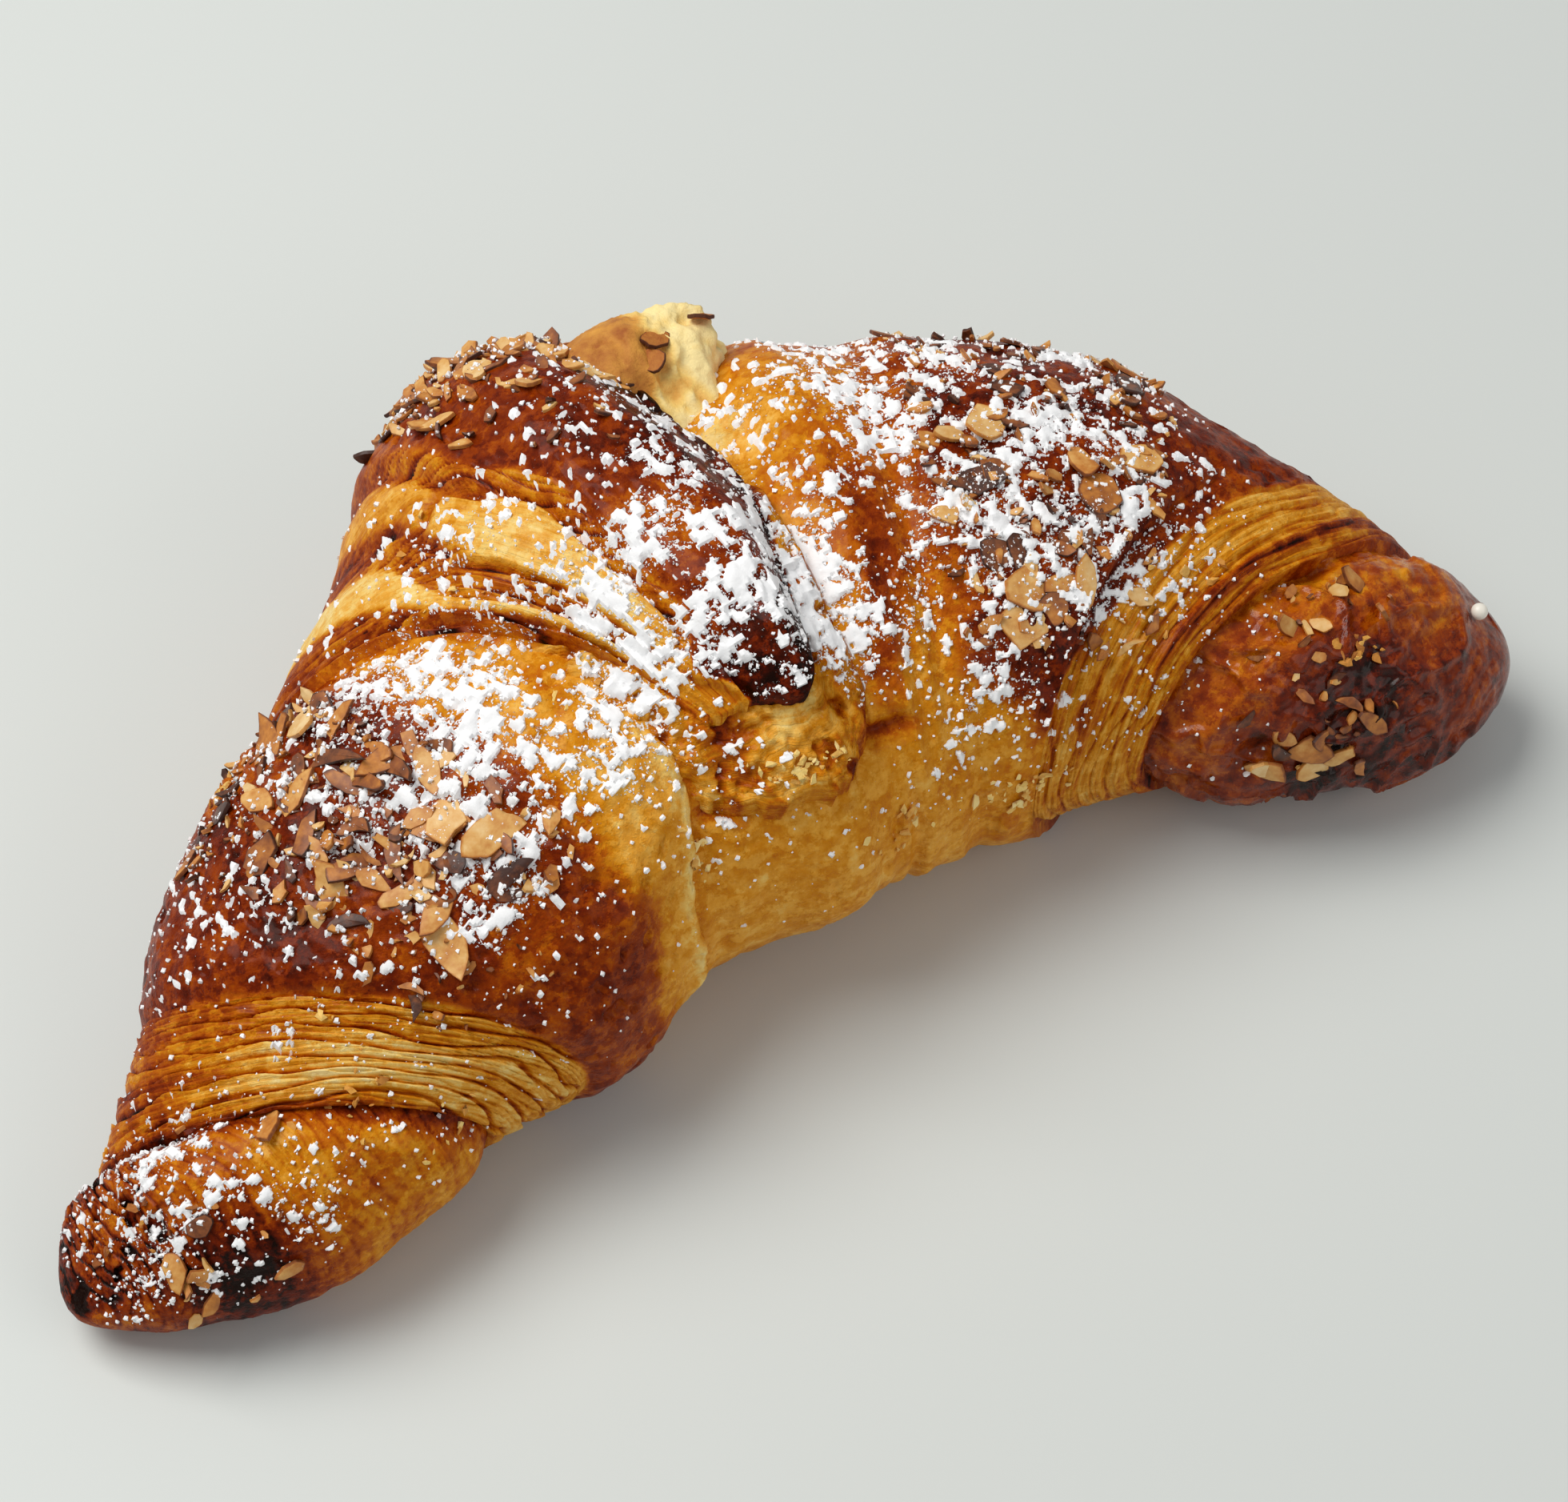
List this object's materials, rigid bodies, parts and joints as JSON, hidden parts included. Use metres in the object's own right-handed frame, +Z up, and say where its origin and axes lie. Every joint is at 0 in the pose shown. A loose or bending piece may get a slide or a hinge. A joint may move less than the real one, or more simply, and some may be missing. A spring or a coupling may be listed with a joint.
{
  "type": "almond croissant",
  "caption": "Baked crescent of rolled, layered pastry with a dark glossy crust, pale laminated bands, almond flakes and an almond filling showing at the back.",
  "frame": {"origin": "middle of the footprint's box, on the surface that the croissant rests on", "axes": "+X from the left-hand tip to the right-hand tip, +Y to the rounded back, +Z up"},
  "size_m": [0.183, 0.0925, 0.0553],
  "materials": {
    "crust": "baked, glossy to satin, mahogany to gold",
    "filling": "moist, crumbly, matt",
    "almond": "toasted, satin",
    "sugar": "powder, matt"
  },
  "bodies": {
    "root": {"pastry": "crust", "filling": "filling"}
  },
  "joints": []
}
